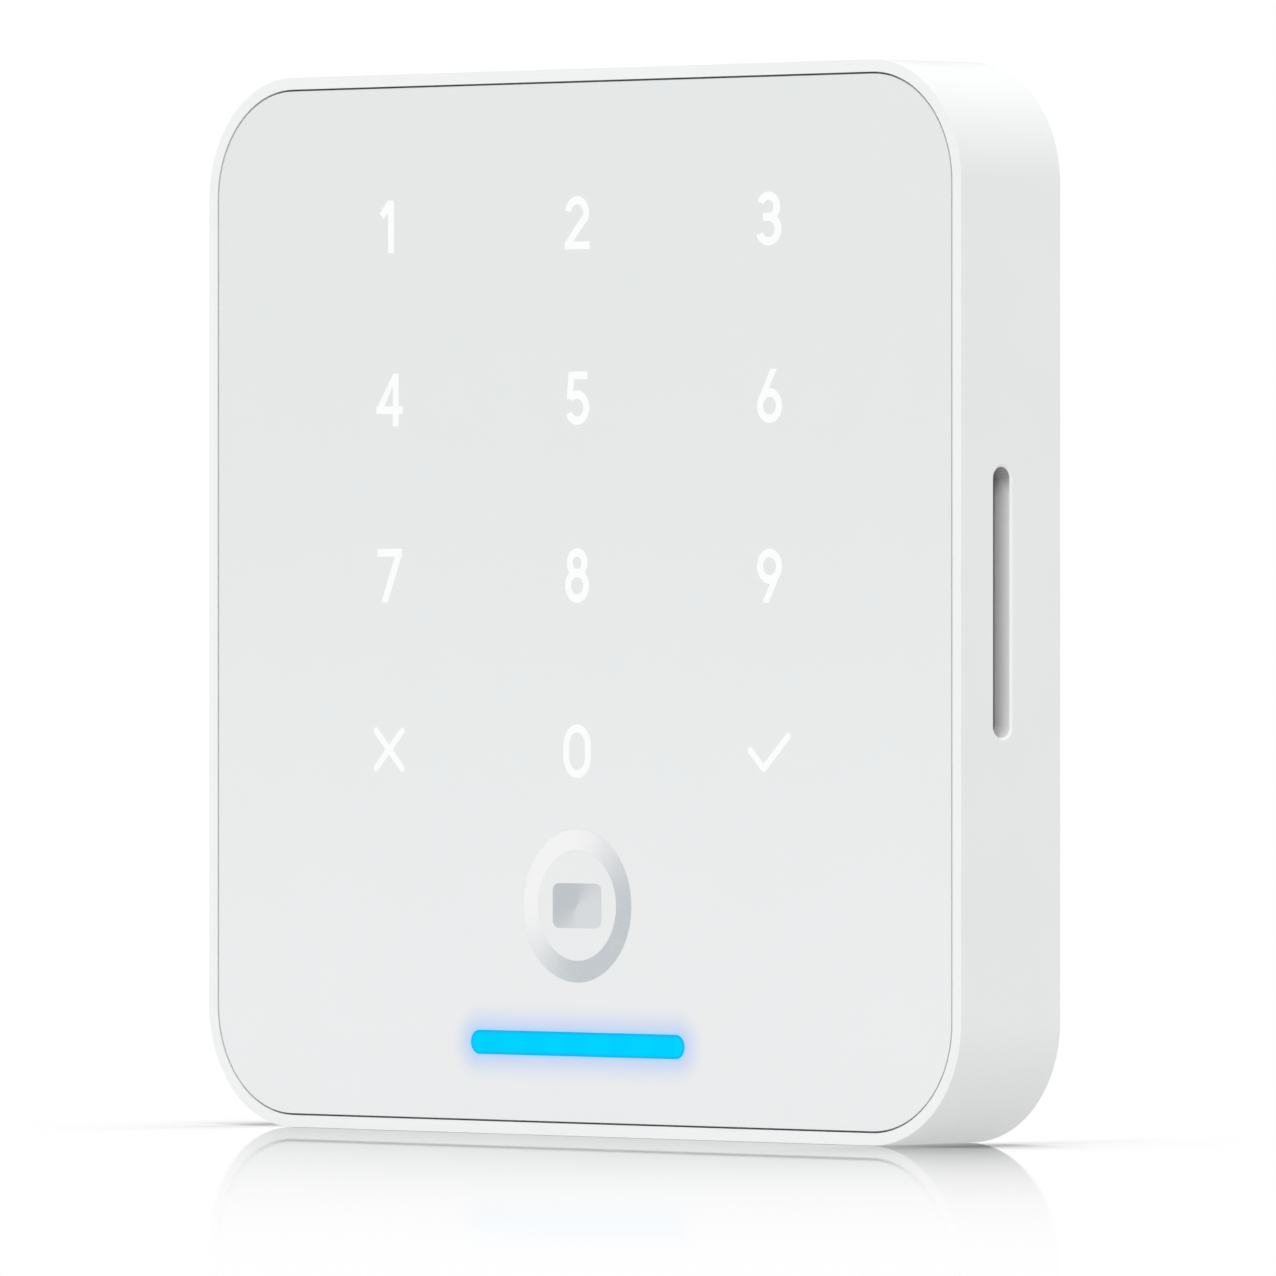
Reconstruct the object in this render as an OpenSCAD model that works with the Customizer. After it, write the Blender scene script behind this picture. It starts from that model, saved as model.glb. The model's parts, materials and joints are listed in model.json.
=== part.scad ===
// Wall-mounted RFID card reader with a touch keypad, built as an assembly.
// Frame: the wall is the plane y = 0, the reader looks along -Y, +Z is up, +X is the side with the
// sound slot. The origin is the centre of the mounting plate on the wall.
// Depths along Y are negative: the closer to the user, the lower the value.

/* [Reader] */
// Width and height of the square housing
body_size = 114; // [112:0.5:118]
// Outer radius of the housing's corners
corner_r = 13; // [12:0.5:14]
// Depth of the housing, from its front rim to its rear edge
body_depth = 15; // [15:0.1:16]
// Width of the rim around the front panel
rim_w = 1.3; // [1.2:0.05:1.5]
// Visible gap between the rim and the front panel
panel_gap = 0.2; // [0.1:0.05:0.3]

/* [Keypad] */
// Distance between the key columns
key_pitch_x = 28.85; // [26:0.05:30]
// Distance between the key rows
key_pitch_z = 18.8; // [17:0.05:19.5]
// Height of the lowest key row above the centre
key_row_z = -15.9; // [-17:0.05:-14]

/* [Status light] */
// Length of the light bar
bar_l = 32.4; // [24:0.1:36]
// Height of the light bar
bar_h = 2.6; // [2:0.1:3]
// Height of the light bar's centre line
bar_z = -47.2; // [-48:0.1:-46]

/* [Tap target] */
// Outer diameter of the ring that shows where to hold a card
target_d = 16.4; // [12:0.1:18]
// Height of its centre
target_z = -32.4; // [-33:0.1:-31]

/* [Mounting] */
// Distance between the vertical pair of fixing slots, as on a one-gang box
gang_pitch = 83.3; // [83:0.1:84]
// Distance between the horizontal pair of fixing slots, as on a round wall box
box_pitch = 60; // [60:0.1:60.5]
// Width of the fixing slots
fix_slot_w = 4.2; // [4:0.1:4.4]
// End-to-end length of the fixing slots
fix_slot_l = 6.4; // [6:0.1:6.6]
// How far the reader is lifted to free it from the plate's hooks
lift_travel = 5; // [4.6:0.1:5]

/* [Hidden] */

// Smallest distance left between solids that belong to different bodies or that slide in
clear = 0.2;
$fn = 48;

// Levels along Y, from the wall to the front
wall_gap = 0.2;
plate_t = 1.5;
cover_back = -2;
cover_front = -3.4;
seal_front = -4.2;
board_back = -7.2;
board_front = -8.4;
frame_back = -9.4;
frame_flange = -10.4;
ferrite_front = -10.75;
keyboard_back = -10.95;
keyboard_front = -11.95;
ledge_back = -12.1;
film_back = -13.35;
panel_back = -13.55;
front = -wall_gap - body_depth;
panel_front = front + 0.05;

// Half sizes of the nested square outlines
half = body_size / 2;
pocket_half = half - rim_w;
panel_half = pocket_half - panel_gap;
ledge_half = half - 5;
cavity_half = half - 3;
rebate_half = half - 1.5;
cover_half = rebate_half - clear;
frame_half = cavity_half - 0.3;
keyboard_half = half - 8;

// Screw posts in the housing's corners
post_at = 47.5;
post_r = 3.4;
insert_r = 1.6;
// Standoffs for the main board's screws
standoff_x = 45;
standoff_z = 33;
// Snap catches that hold the mid frame
catch_at = 28;
catch_l = 9;

// Sound slot in the side
slot_l = 28.4;
slot_w = 2.5;
slot_chamfer = 0.24;
slot_y = front + 6.27;
slot_floor = half - 2.6;
pad_t = 2.4;
port_l = 24;
port_w = 1.8;

// Cable bay and network jack
bay_half = 11;
bay_low = -20;
bay_high = 10.8;
bay_floor = -9.3;
wall_t = 1.2;
jack_half = 7.9;
jack_front = -10.2;
jack_back = -1.3;
jack_l = 15.5;
socket_half = 5.9;
socket_front = -8.9;
socket_back = -2.2;
contact_count = 8;
contact_pitch = 1.02;

// Hooks of the wall plate
hook_w = 8;
hook_x = 24;
hook_rows = [24, -20];
hook_lip = 3.6;
hook_t = 1.6;
lip_back = -3.7;
lip_front = -5.1;

// Wall plate
plate_half_w = 40;
plate_low = -47;
plate_high = 47;
window_half = 15;
window_low = -26;
window_high = 36;

// Lock screw at the bottom
lock_y = -5.2;
lock_r = 1.5;
lock_head_r = 2.7;
lock_head_low = -half + 0.1;
lock_head_top = -half + 1.2;
lock_bore_h = 1.9;
lock_insert_r = 2.3;
lock_boss_half = 5;
lock_boss_top = -52.5;
lock_tip = -43.8;
tab_top = plate_low + 1.5;
tab_half = 6;
tab_front = -8;
// Pocket in the rear cover that takes the plate's foot tab and the screw's tip
lock_pocket_half = 8;
lock_pocket_top = -43;
lock_pocket_floor = -9;

// Tamper plunger, which bears on the wall beside the plate, and reset button
tamper_x = -44;
tamper_z = -18;
tamper_r = 1.8;
reset_x = 20;
reset_z = -34;
reset_r = 1.8;

// Blank label and vent in the rear cover
label_x = 25;
label_z = 38;
label_w = 24;
label_h = 11;
vent_x = -34;
vent_z = 38;
vent_r = 3;

key_count = [3, 4];
key_columns = [for (i = [0 : 2]) (i - 1) * key_pitch_x];
key_rows = [for (j = [0 : 3]) key_row_z + (3 - j) * key_pitch_z];
legend_depth = 0.3;
light_cell = 10;
led = [1.6, 0.8];
led_h = 0.6;

// ---------- helpers ----------

// Number of chords that an arc of this radius and angle is divided into
function arc_steps(r, angle) = ceil(abs(angle) / (r > 8 ? 3.75 : r > 3 ? 7.5 : 11.25));

// Points of an arc around [x, y], from angle a to angle b
function arc(x, y, r, a, b) =
    let (steps = arc_steps(r, b - a))
    [for (i = [0 : steps]) [x + r * cos(a + (b - a) * i / steps), y + r * sin(a + (b - a) * i / steps)]];

// Rectangle with rounded corners, centred, in the plane of the drawing
module rounded(w, h, r) {
    polygon(concat(
        arc(w / 2 - r, h / 2 - r, r, 0, 90),
        arc(r - w / 2, h / 2 - r, r, 90, 180),
        arc(r - w / 2, r - h / 2, r, 180, 270),
        arc(w / 2 - r, r - h / 2, r, 270, 360)));
}

// Square outline that follows the housing's outline at another half size
module outline(half_size) {
    rounded(2 * half_size, 2 * half_size, max(2, corner_r - half + half_size));
}

// Extrudes an XZ drawing along Y from y0 up to y1
module slab(y0, y1) {
    translate([0, y1, 0]) rotate([90, 0, 0]) linear_extrude(y1 - y0) children();
}

// Places an XZ drawing at [x, z]
module at(x, z) {
    translate([x, z]) children();
}

// Box given by its lowest and highest corners
module span_box(low, high) {
    translate(low) cube(high - low);
}

// Round rod along Y
module rod_y(x, z, r, y0, y1) {
    translate([x, y1, z]) rotate([90, 0, 0]) cylinder(r = r, h = y1 - y0);
}

// Round rod along Z
module rod_z(x, y, r, z0, z1) {
    translate([x, y, z0]) cylinder(r = r, h = z1 - z0);
}

// Repeats its children in the four corners of a rectangle, as a drawing
module four(x, z) {
    for (i = [-1, 1]) {
        for (j = [-1, 1]) {
            translate([i * x, j * z]) children();
        }
    }
}

// Slot with round ends; along is the angle of its long axis
module oblong(length, width, along = 0) {
    reach = (length - width) / 2;
    rotate(along) {
        square([2 * reach, width], center = true);
        translate([-reach, 0]) circle(d = width);
        translate([reach, 0]) circle(d = width);
    }
}

// Straight stroke with square ends between two points
module stroke(a, b, w) {
    d = b - a;
    translate(a) rotate(atan2(d[1], d[0])) translate([0, -w / 2]) square([norm(d), w]);
}

// Straight stroke with round ends
module round_stroke(a, b, w) {
    d = b - a;
    translate((a + b) / 2) rotate(atan2(d[1], d[0])) rounded(norm(d) + w, w, w / 2);
}

// Stroke that closes on itself in a ring around [x, z]
module ring_stroke(x, z, r, w) {
    translate([x, z]) difference() {
        circle(r + w / 2);
        circle(r - w / 2);
    }
}

// Curved stroke: part of a ring around [x, z]
module arc_stroke(x, z, r, w, a, b) {
    first = min(a, b);
    last = max(a, b);
    polygon(concat(arc(x, z, r + w / 2, first, last), arc(x, z, r - w / 2, last, first)));
}

// ---------- key legends ----------

stroke_w = 0.9;
mark_w = 0.76;

module digit_1() {
    translate([-0.15, -2.8]) square([stroke_w, 5.7]);
    polygon([[0.75, 2.9], [-0.2, 2.9], [-1.46, 1.5], [-0.9, 0.9], [0.3, 2]]);
}

module digit_2() {
    arc_stroke(0, 1.1, 1.36, stroke_w, 172, -32);
    polygon([[0.72, 0.76], [-1.9, -2.1], [-0.76, -2.1], [1.5, 0.26]]);
    translate([-1.9, -2.8]) square([3.8, 0.84]);
}

module digit_3() {
    translate([-0.16, 0]) scale([1.1, 1]) {
        arc_stroke(0, 1.32, 1.13, stroke_w, 160, -62);
        arc_stroke(0, -1.08, 1.3, stroke_w, 68, -158);
        translate([-0.73, -0.2]) square([1.3, 0.84]);
    }
}

module digit_4() {
    translate([0.58, -2.7]) square([stroke_w, 5.7]);
    translate([-1.96, -1.36]) square([4.1, 0.84]);
    polygon([[0.66, 3], [-1.96, -0.8], [-0.9, -0.8], [1.3, 2.9]]);
}

module digit_5() {
    translate([-1.3, 2.12]) square([2.84, 0.84]);
    polygon([[-1.3, 2.8], [-1.55, 0], [-0.64, 0], [-0.42, 2.8]]);
    arc_stroke(0, -0.9, 1.4, stroke_w, 136, -156);
}

module digit_6() {
    ring_stroke(0, -0.92, 1.4, stroke_w);
    polygon([[0.12, 2.95], [-1.7, -0.3], [-0.72, -0.1], [1.1, 2.95]]);
}

module digit_7() {
    translate([-1.8, 2.04]) square([3.8, 0.84]);
    polygon([[1, 2.3], [-1.2, -2.9], [-0.2, -2.9], [2, 2.3]]);
}

module digit_8() {
    ring_stroke(0, 1.32, 1.12, stroke_w);
    ring_stroke(0, -1.12, 1.37, stroke_w);
}

module digit_9() {
    rotate(180) digit_6();
}

// Oval with slightly flattened sides
module oval(width, height, flat) {
    hull() {
        for (side = [-1, 1]) {
            at(0, side * flat / 2) scale([width, height - flat]) circle(0.5);
        }
    }
}

module digit_0() {
    difference() {
        oval(4.15, 5.75, 1.2);
        oval(2.4, 4.05, 1.2);
    }
}

module mark_x() {
    reach = 2.02;
    round_stroke([-reach, -reach], [reach, reach], mark_w);
    round_stroke([-reach, reach], [reach, -reach], mark_w);
}

module mark_tick() {
    round_stroke([-2.87, 0.25], [-0.87, -1.66], mark_w);
    round_stroke([-0.87, -1.66], [2.74, 1.77], mark_w);
}

module legend(row, column) {
    key = row * key_count[0] + column;
    if (key == 0) digit_1();
    if (key == 1) digit_2();
    if (key == 2) digit_3();
    if (key == 3) digit_4();
    if (key == 4) digit_5();
    if (key == 5) digit_6();
    if (key == 6) digit_7();
    if (key == 7) digit_8();
    if (key == 8) digit_9();
    if (key == 9) mark_x();
    if (key == 10) digit_0();
    if (key == 11) mark_tick();
}

module all_legends() {
    for (row = [0 : key_count[1] - 1]) {
        for (column = [0 : key_count[0] - 1]) {
            at(key_columns[column], key_rows[row]) legend(row, column);
        }
    }
}

// Repeats a drawing at every key
module every_key() {
    for (x = key_columns) {
        for (z = key_rows) {
            at(x, z) children();
        }
    }
}

// ---------- tap target ----------

module ring_shape() {
    difference() {
        circle(d = target_d);
        circle(d = target_d - 4.6);
    }
}

module card_shape() {
    rounded(7.4, 4.8, 0.9);
}

// ---------- front ----------

module post_shape(r) {
    four(post_at, post_at) circle(r = r);
}

// Corner webs that tie the screw posts to the housing's walls
module post_webs() {
    intersection() {
        outline(cavity_half + 0.1);
        union() {
            four(post_at, post_at) circle(r = post_r);
            for (i = [0 : 3]) {
                rotate(90 * i) translate([post_at, post_at]) square([6, 6]);
            }
        }
    }
}

// Upright slot in the housing's side, cut outwards from the level x
module side_slot(x, length, width) {
    translate([x, slot_y, 0]) rotate([0, 90, 0]) linear_extrude(20) oblong(length, width);
}

// Flared mouth of the slot: a chamfer along its straight sides and round its ends
module slot_edge() {
    small = slot_w / 2;
    depth = slot_chamfer + 0.1;
    straight = slot_l - slot_w;
    translate([half - slot_chamfer, slot_y, 0]) rotate([0, 90, 0]) {
        rotate([90, 0, 90]) linear_extrude(straight, center = true)
            polygon([[-small, 0], [small, 0], [small + depth, depth], [-small - depth, depth]]);
        for (side = [-1, 1]) {
            translate([side * straight / 2, 0, 0]) cylinder(h = depth, r1 = small, r2 = small + depth);
        }
    }
}

module housing() {
    color("white") difference() {
        union() {
            slab(front, -wall_gap) difference() {
                outline(half);
                outline(rebate_half);
            }
            slab(front + 1, seal_front) difference() {
                outline(rebate_half + 0.2);
                outline(cavity_half);
            }
            slab(panel_back + 0.25, ledge_back) difference() {
                outline(rebate_half + 0.2);
                outline(ledge_half);
            }
            slab(keyboard_front + 0.2, cover_front) post_webs();
            // Pad behind the sound slot
            span_box([slot_floor - pad_t, ledge_back - 0.4, -17], [slot_floor + 1, -5.6, 17]);
            // Snap catches for the mid frame
            for (side = [0 : 3]) {
                rotate([0, 90 * side, 0]) for (z = [-catch_at, catch_at]) {
                    span_box([cavity_half - 0.7, frame_back + 0.05, z - catch_l / 2],
                             [cavity_half + 1, frame_back + 0.9, z + catch_l / 2]);
                }
            }
            // Boss for the lock screw
            span_box([-lock_boss_half, lock_y - 3.6, -half + 1], [lock_boss_half, -1, lock_boss_top]);
        }
        slab(front - 1, panel_back + 0.25) outline(pocket_half);
        // Holes for the screw inserts
        for (x = [-post_at, post_at]) {
            for (z = [-post_at, post_at]) {
                rod_y(x, z, insert_r, cover_front - 4.2, cover_front + 1);
            }
        }
        // Sound slot and its port
        side_slot(slot_floor, slot_l, slot_w);
        side_slot(slot_floor - pad_t - 1, port_l, port_w);
        slot_edge();
        // Counterbore, insert seat and way through for the lock screw
        rod_z(0, lock_y, lock_head_r + 0.3, -half - 1, -half + lock_bore_h);
        rod_z(0, lock_y, lock_insert_r, -half + 1, lock_boss_top + 1);
    }
}

module front_panel() {
    color("whitesmoke") difference() {
        slab(panel_front, panel_back) outline(panel_half);
        slab(panel_front - 1, panel_front + legend_depth) all_legends();
        slab(panel_front - 1, panel_front + legend_depth) at(0, target_z) ring_shape();
        slab(panel_front - 1, panel_front + legend_depth) at(0, target_z) card_shape();
        slab(panel_front - 1, panel_back + 1) at(0, bar_z) oblong(bar_l, bar_h);
    }
}

module key_legends() {
    color("white") slab(panel_front, panel_front + legend_depth) all_legends();
}

module tap_ring() {
    color("silver") slab(panel_front, panel_front + legend_depth) at(0, target_z) ring_shape();
}

module tap_card() {
    color("gainsboro") slab(panel_front, panel_front + legend_depth) at(0, target_z) card_shape();
}

module status_light_bar() {
    color("deepskyblue") {
        slab(panel_front, panel_back) at(0, bar_z) oblong(bar_l, bar_h);
        slab(panel_back, -12.7) at(0, bar_z) oblong(bar_l + 2, bar_h + 1.4);
    }
}

module panel_adhesive() {
    color("dimgray") slab(panel_back, panel_back + 0.25) difference() {
        outline(panel_half - 0.3);
        outline(ledge_half + 0.4);
    }
}

module touch_sensor_film() {
    color("darkseagreen") slab(panel_back, film_back) difference() {
        rounded(96, 94, 5);
        at(0, bar_z) square([bar_l + 6, 8], center = true);
    }
}

module key_light_frame() {
    color("white") slab(film_back, keyboard_front) difference() {
        outline(ledge_half - 2.8);
        every_key() rounded(light_cell, light_cell, 2);
        at(0, bar_z) oblong(bar_l + 4, bar_h + 2);
    }
}

module post_clearance() {
    post_shape(post_r + 0.5);
    for (i = [0 : 3]) {
        rotate(90 * i) translate([post_at - 0.5, post_at - 0.5]) square([8, 8]);
    }
}

module keypad_board() {
    color("darkgreen") slab(keyboard_front, keyboard_back) difference() {
        outline(keyboard_half);
        post_clearance();
    }
}

module key_leds() {
    color("khaki") slab(keyboard_front - led_h, keyboard_front) every_key() {
        for (x = [-2.2, 2.2]) {
            at(x, 0) square(led, center = true);
        }
    }
}

module status_leds() {
    color("khaki") slab(keyboard_front - led_h, keyboard_front) at(0, bar_z) {
        for (i = [-2 : 2]) {
            at(i * bar_l / 5, 0) square(led, center = true);
        }
    }
}

// Square spiral of flat copper trace
coil_turns = 4;
coil_half = 43;
coil_pitch = 1.4;
trace_w = 0.8;

module nfc_antenna_coil() {
    color("peru") slab(keyboard_back, ferrite_front) {
        for (turn = [0 : coil_turns - 1]) {
            r = coil_half - turn * coil_pitch;
            inner = r - coil_pitch;
            stroke([-r, r], [r + trace_w / 2, r], trace_w);
            stroke([r, r], [r, -r - trace_w / 2], trace_w);
            stroke([r, -r], [-r - trace_w / 2, -r], trace_w);
            stroke([-r, -r], [-r, inner], trace_w);
            if (turn < coil_turns - 1) stroke([-r - trace_w / 2, inner], [-inner, inner], trace_w);
        }
    }
}

module ferrite_sheet() {
    color("darkslategray") slab(ferrite_front, ferrite_front + 0.3) difference() {
        rounded(91, 91, 4);
        rounded(73, 73, 4);
    }
}

module mid_frame() {
    color("gainsboro") difference() {
        union() {
            slab(ledge_back, frame_back) difference() {
                outline(frame_half);
                outline(keyboard_half + 0.4);
            }
            slab(frame_flange, frame_back) difference() {
                outline(frame_half);
                outline(42.5);
            }
            slab(frame_flange, board_front) four(standoff_x, standoff_z) circle(r = 2.6);
        }
        slab(front, 0) post_clearance();
        // Room for the speaker and its pad, and for the lock pocket
        span_box([40, front, -18.2], [half, 0, 18.2]);
        span_box([-lock_pocket_half - wall_t - 0.4, lock_pocket_floor - wall_t - 0.4, -half],
                 [lock_pocket_half + wall_t + 0.4, 0, lock_pocket_top + wall_t + 0.4]);
        for (x = [-standoff_x, standoff_x]) {
            for (z = [-standoff_z, standoff_z]) {
                rod_y(x, z, 0.9, frame_flange - 1, board_front + 1);
            }
        }
    }
}

// ---------- electronics ----------

// Flat cable between the boards: centre, heights of its two connectors, and sizes
flex_x = -28;
flex_top = 33;
flex_low = 22;
flex_w = 10;
flex_t = 0.2;
connector = [12, 3];
connector_h = 0.9;

module flex_connectors() {
    color("ivory") {
        slab(keyboard_back, keyboard_back + connector_h)
            at(flex_x, flex_top) square(connector, center = true);
        slab(board_front - connector_h, board_front)
            at(flex_x, flex_low) square(connector, center = true);
    }
}

module keypad_flex() {
    y_top = keyboard_back + connector_h;
    y_low = board_front - connector_h;
    color("orange") translate([flex_x - flex_w / 2, 0, 0]) rotate([90, 0, 90])
        linear_extrude(flex_w) polygon([
        [y_top, flex_top],
        [y_top, flex_top - 1.5],
        [y_low - flex_t, flex_low + 1.4],
        [y_low - flex_t, flex_low],
        [y_low, flex_low],
        [y_low, flex_low + 1.6],
        [y_top + flex_t, flex_top - 1.7],
        [y_top + flex_t, flex_top]]);
}

module main_board() {
    color("seagreen") difference() {
        slab(board_front, board_back) difference() {
            translate([-48, -41.5]) square([96, 88.5]);
            post_clearance();
            // Speaker, cable bay and jack cut-outs
            translate([42, -18]) square([10, 36]);
            translate([-bay_half - wall_t - 0.4, bay_low - wall_t - 0.4])
                square([2 * (bay_half + wall_t + 0.4), bay_high - bay_low + 2 * wall_t + 0.8]);
            translate([-jack_half, 0]) square([2 * jack_half, bay_high + jack_l]);
        }
        for (x = [-standoff_x, standoff_x]) {
            for (z = [-standoff_z, standoff_z]) {
                rod_y(x, z, 1.15, board_front - 1, board_back + 1);
            }
        }
    }
}

// Pan-head screw along Y, its head towards the wall
module screw_y(x, z, r, head_r, head_h, seat, length) {
    difference() {
        union() {
            rod_y(x, z, r, seat - length, seat + head_h / 2);
            rod_y(x, z, head_r, seat, seat + head_h);
        }
        // Cross recess
        for (turn = [0, 90]) {
            translate([x, seat + head_h, z]) rotate([0, turn, 0])
                cube([head_r * 1.1, head_h, head_r * 0.28], center = true);
        }
    }
}

module board_screws() {
    color("silver") for (x = [-standoff_x, standoff_x]) {
        for (z = [-standoff_z, standoff_z]) {
            screw_y(x, z, 0.88, 1.8, 1.1, board_back, 2.8);
        }
    }
}

module shield_can() {
    color("silver") difference() {
        span_box([13, board_back, 31], [39, board_back + 2, 44]);
        span_box([13.2, board_back - 1, 31.2], [38.8, board_back + 1.8, 43.8]);
    }
}

module poe_transformer() {
    color("dimgray") {
        span_box([-36, board_back, 31.5], [-23, board_back + 0.6, 44.5]);
        span_box([-35, board_back + 0.6, 32.5], [-24, board_back + 3.2, 43.5]);
    }
}

module power_inductor() {
    color("gray") {
        span_box([-20, board_back, 33], [-12, board_back + 0.5, 41]);
        rod_y(-16, 37, 3.8, board_back + 0.5, board_back + 2.8);
    }
}

// Chips as [x, z, width, height]
chips = [
    [-41, 8, 8, 8],
    [-41, -6, 6, 6],
    [30, -33, 7, 9],
    [-20, -33, 5, 6],
    [38, 24, 5, 5],
    [-41, 22, 5, 7]
];
chip_h = 0.9;

module board_chips() {
    color("black") for (c = chips) {
        slab(board_back, board_back + chip_h) at(c[0], c[1]) square([c[2], c[3]], center = true);
    }
}

// Rows of capacitors as [x, z of the first, step in x, step in z, how many, size]
capacitor_rows = [
    [-36, -24, 0, -2.6, 6, [3, 1.6]],
    [38, 9, 0, -4, 5, [1.4, 2.4]],
    [10, -39, 4, 0, 3, [2.4, 1.6]]
];
capacitor_h = 1.4;

module board_capacitors() {
    color("tan") slab(board_back, board_back + capacitor_h) for (row = capacitor_rows) {
        for (i = [0 : row[4] - 1]) {
            at(row[0] + i * row[2], row[1] + i * row[3]) square(row[5], center = true);
        }
    }
}

module network_jack() {
    color("silver") difference() {
        span_box([-jack_half, jack_front, bay_high], [jack_half, jack_back, bay_high + jack_l]);
        // Room for the insert, and the plug's way in
        span_box([-socket_half - 1, socket_front - 0.5, bay_high - 1],
                 [socket_half + 1, socket_back + 0.5, bay_high + jack_l - 1]);
    }
}

module jack_insert() {
    color("black") difference() {
        span_box([-socket_half - 1, socket_front - 0.5, bay_high + 0.4],
                 [socket_half + 1, socket_back + 0.5, bay_high + jack_l - 1]);
        span_box([-socket_half, socket_front, bay_high - 1], [socket_half, socket_back, bay_high + 12]);
        // Key way for the plug's latch
        span_box([-3.2, socket_front - 1, bay_high - 1], [3.2, socket_front + 1, bay_high + 9]);
    }
}

module jack_contacts() {
    color("gold") for (i = [0 : contact_count - 1]) {
        x = (i - (contact_count - 1) / 2) * contact_pitch;
        translate([x - 0.2, 0, 0]) rotate([90, 0, 90]) linear_extrude(0.4) polygon([
            [socket_back, bay_high + 2],
            [socket_back - 0.35, bay_high + 2],
            [socket_back - 2.4, bay_high + 9],
            [socket_back - 2.15, bay_high + 9.2],
            [socket_back, bay_high + 2.6]]);
    }
}

speaker_x0 = 43.2;
speaker_front = -10.1;
speaker_back = -4.4;

module speaker() {
    color("dimgray") difference() {
        span_box([speaker_x0, speaker_front, -14], [slot_floor - pad_t - 0.8, speaker_back, 14]);
        translate([slot_floor - pad_t - 2.4, slot_y + 1, 0]) rotate([0, 90, 0]) linear_extrude(4)
            oblong(25, 2.6);
    }
}

module speaker_cone() {
    color("black") translate([slot_floor - pad_t - 2.4, slot_y + 1, 0]) rotate([0, 90, 0])
        linear_extrude(0.3) oblong(25, 2.6);
}

module speaker_gasket() {
    color("darkgray") translate([slot_floor - pad_t - 0.8, slot_y, 0]) difference() {
        span_box([0, speaker_front - slot_y, -14], [0.8, 2.6, 14]);
        translate([-1, 0.25, 0]) rotate([0, 90, 0]) linear_extrude(4) oblong(25, 1.6);
    }
}

module sound_mesh() {
    color("gray") translate([slot_floor, slot_y, 0]) rotate([0, 90, 0]) linear_extrude(0.2)
        oblong(slot_l - 0.1, slot_w - 0.1);
}

module tamper_switch() {
    color("black") {
        slab(board_back, board_back + 0.8) at(tamper_x, tamper_z) square([6, 6], center = true);
        rod_y(tamper_x, tamper_z, 0.8, board_back + 0.8, board_back + 1.2);
    }
}

module reset_switch() {
    color("silver") difference() {
        slab(board_back, board_back + 1.6) at(reset_x, reset_z) square([4.5, 4.5], center = true);
        rod_y(reset_x, reset_z, 0.85, board_back + 0.3, board_back + 2);
    }
}

// ---------- rear cover ----------

// Pockets as [x, z low, z high, half width, floor]
head_half = 4.5;
head_floor = -4.9;
pockets = [
    [0, gang_pitch / 2 - head_half - lift_travel, gang_pitch / 2 + head_half, head_half, head_floor],
    [0, -gang_pitch / 2 - head_half - lift_travel, -gang_pitch / 2 + head_half, head_half, head_floor],
    [-box_pitch / 2, -head_half - lift_travel, head_half, head_half, head_floor],
    [box_pitch / 2, -head_half - lift_travel, head_half, head_half, head_floor]
];

// Blind space behind the cover for one hook, and its mouth
mouth_h = hook_t + lift_travel + 2 * clear;

module hook_spaces(grow = 0) {
    for (x = [-hook_x, hook_x]) {
        for (z = hook_rows) {
            span_box([x - hook_w / 2 - 0.5 - grow, lip_front - 0.4 - grow, z - mouth_h - grow],
                     [x + hook_w / 2 + 0.5 + grow, cover_front + 0.01, z + hook_lip + 0.5 + grow]);
        }
    }
}

module hook_mouths() {
    for (x = [-hook_x, hook_x]) {
        for (z = hook_rows) {
            span_box([x - hook_w / 2 - 0.5, lip_front, z - mouth_h], [x + hook_w / 2 + 0.5, 0, z + 0.05]);
        }
    }
}

module pocket_boxes(grow = 0) {
    for (p = pockets) {
        span_box([p[0] - p[3] - grow, p[4] - grow, p[1] - grow],
                 [p[0] + p[3] + grow, cover_back + (grow > 0 ? 0 : 1), p[2] + grow]);
    }
}

module rear_cover() {
    color("lightgray") difference() {
        union() {
            slab(cover_front, cover_back) outline(cover_half);
            pocket_boxes(wall_t);
            hook_spaces(wall_t - 0.2);
            // Cable bay and the raised roof over the jack
            span_box([-bay_half - wall_t, bay_floor - 1, bay_low - wall_t],
                     [bay_half + wall_t, cover_back, bay_high + wall_t]);
            span_box([-jack_half - 1.7, cover_front, bay_high],
                     [jack_half + 1.7, -0.5, bay_high + jack_l + 2.3]);
            // Walls of the lock pocket
            span_box([-lock_pocket_half - wall_t, lock_pocket_floor - wall_t, -52.3],
                     [lock_pocket_half + wall_t, cover_back, lock_pocket_top + wall_t]);
            span_box([-lock_pocket_half - wall_t, lock_pocket_floor - wall_t, -cavity_half + 0.2],
                     [lock_pocket_half + wall_t, cover_front, lock_pocket_top + wall_t]);
        }
        pocket_boxes();
        hook_spaces();
        hook_mouths();
        span_box([-bay_half, bay_floor, bay_low], [bay_half, 0, bay_high]);
        span_box([-jack_half - 0.15, jack_front - 0.15, bay_high - 1],
                 [jack_half + 0.15, jack_back + 0.1, bay_high + jack_l + 1.1]);
        span_box([-lock_pocket_half, lock_pocket_floor, -half], [lock_pocket_half, 0, lock_pocket_top]);
        for (x = [-post_at, post_at]) {
            for (z = [-post_at, post_at]) {
                rod_y(x, z, 1.3, cover_front - 1, 0);
            }
        }
        rod_y(tamper_x, tamper_z, tamper_r + 0.15, cover_front - 1, 0);
        rod_y(reset_x, reset_z, reset_r + 0.15, cover_front - 1, 0);
        // Seat and breathing hole of the vent membrane, and seat of the label
        rod_y(vent_x, vent_z, vent_r + 0.1, cover_back - 0.3, 0);
        rod_y(vent_x, vent_z, 0.8, cover_front - 1, 0);
        slab(cover_back - 0.15, 0) at(label_x, label_z) rounded(label_w, label_h, 1.2);
    }
}

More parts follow.
